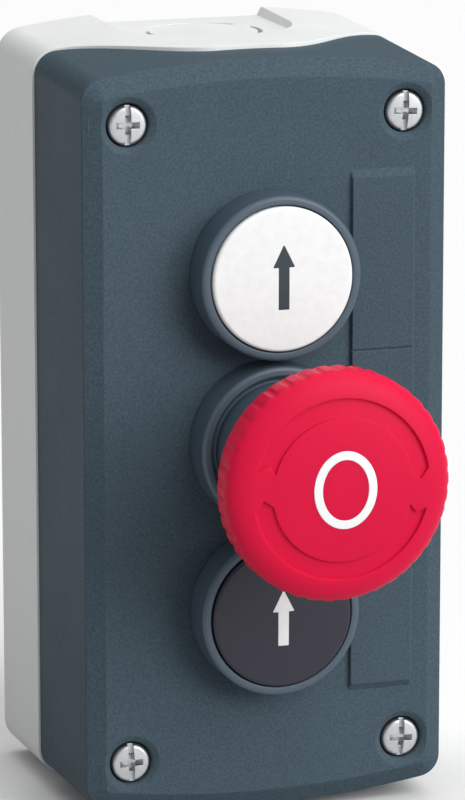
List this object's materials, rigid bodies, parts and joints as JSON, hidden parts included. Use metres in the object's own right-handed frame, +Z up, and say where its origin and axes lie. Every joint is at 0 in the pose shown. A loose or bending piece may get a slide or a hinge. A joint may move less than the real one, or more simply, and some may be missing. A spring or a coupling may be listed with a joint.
{
  "type": "pushbutton control station",
  "caption": "Upright wall box with a white and a black flush pushbutton, each with an arrow, and a red turn-to-release mushroom stop head between them.",
  "frame": {"origin": "centre of the flat back face that rests on the wall", "axes": "+Z up along the box's long side, +Y into the wall, +X to the right as seen from the front"},
  "size_m": [0.068, 0.093, 0.1372],
  "materials": {
    "light_grey_plastic": "moulded light grey plastic, fine matt texture",
    "blue_grey_plastic": "moulded dark blue grey plastic, fine matt texture",
    "dark_grey_plastic": "moulded dark grey plastic, satin",
    "black_plastic": "moulded black plastic, satin",
    "white_plastic": "moulded white plastic, semi gloss",
    "red_plastic": "moulded red plastic, satin",
    "black_rubber": "moulded rubber",
    "zinc_plated_steel": "zinc-plated steel",
    "spring_steel": "drawn spring wire",
    "brass": "stamped brass",
    "contact_housing_plastic": "moulded grey plastic"
  },
  "bodies": {
    "station": {"base_box": "light_grey_plastic", "cover": "blue_grey_plastic", "cover_gasket": "black_rubber", "cover_screw_1": "zinc_plated_steel", "cover_screw_2": "zinc_plated_steel", "cover_screw_3": "zinc_plated_steel", "cover_screw_4": "zinc_plated_steel", "stop_latch_ring": "zinc_plated_steel", "white_bezel": "dark_grey_plastic", "white_seal": "black_rubber", "white_spring": "spring_steel", "white_clamp_frame": "dark_grey_plastic", "white_contact_housing": "contact_housing_plastic", "white_contact_spring": "spring_steel", "white_terminal_left": "brass", "white_terminal_screw_left": "zinc_plated_steel", "white_terminal_right": "brass", "white_terminal_screw_right": "zinc_plated_steel", "stop_bezel": "dark_grey_plastic", "stop_seal": "black_rubber", "stop_spring": "spring_steel", "stop_clamp_frame": "dark_grey_plastic", "stop_contact_housing": "contact_housing_plastic", "stop_contact_spring": "spring_steel", "stop_terminal_left": "brass", "stop_terminal_screw_left": "zinc_plated_steel", "stop_terminal_right": "brass", "stop_terminal_screw_right": "zinc_plated_steel", "black_bezel": "dark_grey_plastic", "black_seal": "black_rubber", "black_spring": "spring_steel", "black_clamp_frame": "dark_grey_plastic", "black_contact_housing": "contact_housing_plastic", "black_contact_spring": "spring_steel", "black_terminal_left": "brass", "black_terminal_screw_left": "zinc_plated_steel", "black_terminal_right": "brass", "black_terminal_screw_right": "zinc_plated_steel"},
    "white_cap": {"white_cap": "white_plastic"},
    "black_cap": {"black_cap": "black_plastic"},
    "stop_plunger": {"stop_plunger": "black_plastic"},
    "stop_knob": {"stop_knob": "red_plastic"},
    "white_contact": {"white_contact_plunger": "white_plastic", "white_contact_bridge": "brass"},
    "stop_contact": {"stop_contact_plunger": "white_plastic", "stop_contact_bridge": "brass"},
    "black_contact": {"black_contact_plunger": "white_plastic", "black_contact_bridge": "brass"}
  },
  "joints": [
    {"name": "white_press", "type": "slide", "parent": "station", "child": "white_cap", "axis": [0, 1, 0], "range_m": [0, 0.0042], "stiffness_N_per_m": 600, "springref_m": -0.003, "deforming": ["white_spring"]},
    {"name": "black_press", "type": "slide", "parent": "station", "child": "black_cap", "axis": [0, 1, 0], "range_m": [0, 0.0042], "stiffness_N_per_m": 600, "springref_m": -0.003, "deforming": ["black_spring"]},
    {"name": "stop_press", "type": "slide", "parent": "station", "child": "stop_plunger", "axis": [0, 1, 0], "range_m": [0, 0.006], "deforming": ["stop_spring"]},
    {"name": "stop_release_turn", "type": "hinge", "parent": "stop_plunger", "child": "stop_knob", "pos_m": [0, -0.08, 0], "axis": [0, 1, 0], "range_deg": [0, 40], "stiffness_Nm_per_rad": 0.05},
    {"name": "white_contact_slide", "type": "slide", "parent": "station", "child": "white_contact", "axis": [0, 1, 0], "range_m": [0, 0.0042], "deforming": ["white_contact_spring"]},
    {"name": "black_contact_slide", "type": "slide", "parent": "station", "child": "black_contact", "axis": [0, 1, 0], "range_m": [0, 0.0042], "deforming": ["black_contact_spring"]},
    {"name": "stop_contact_slide", "type": "slide", "parent": "station", "child": "stop_contact", "axis": [0, 1, 0], "range_m": [0, 0.006], "deforming": ["stop_contact_spring"]}
  ],
  "couplings": [
    {"joint": "white_contact_slide", "follows": "white_press", "ratio": 1},
    {"joint": "stop_contact_slide", "follows": "stop_press", "ratio": 1},
    {"joint": "black_contact_slide", "follows": "black_press", "ratio": 1}
  ]
}
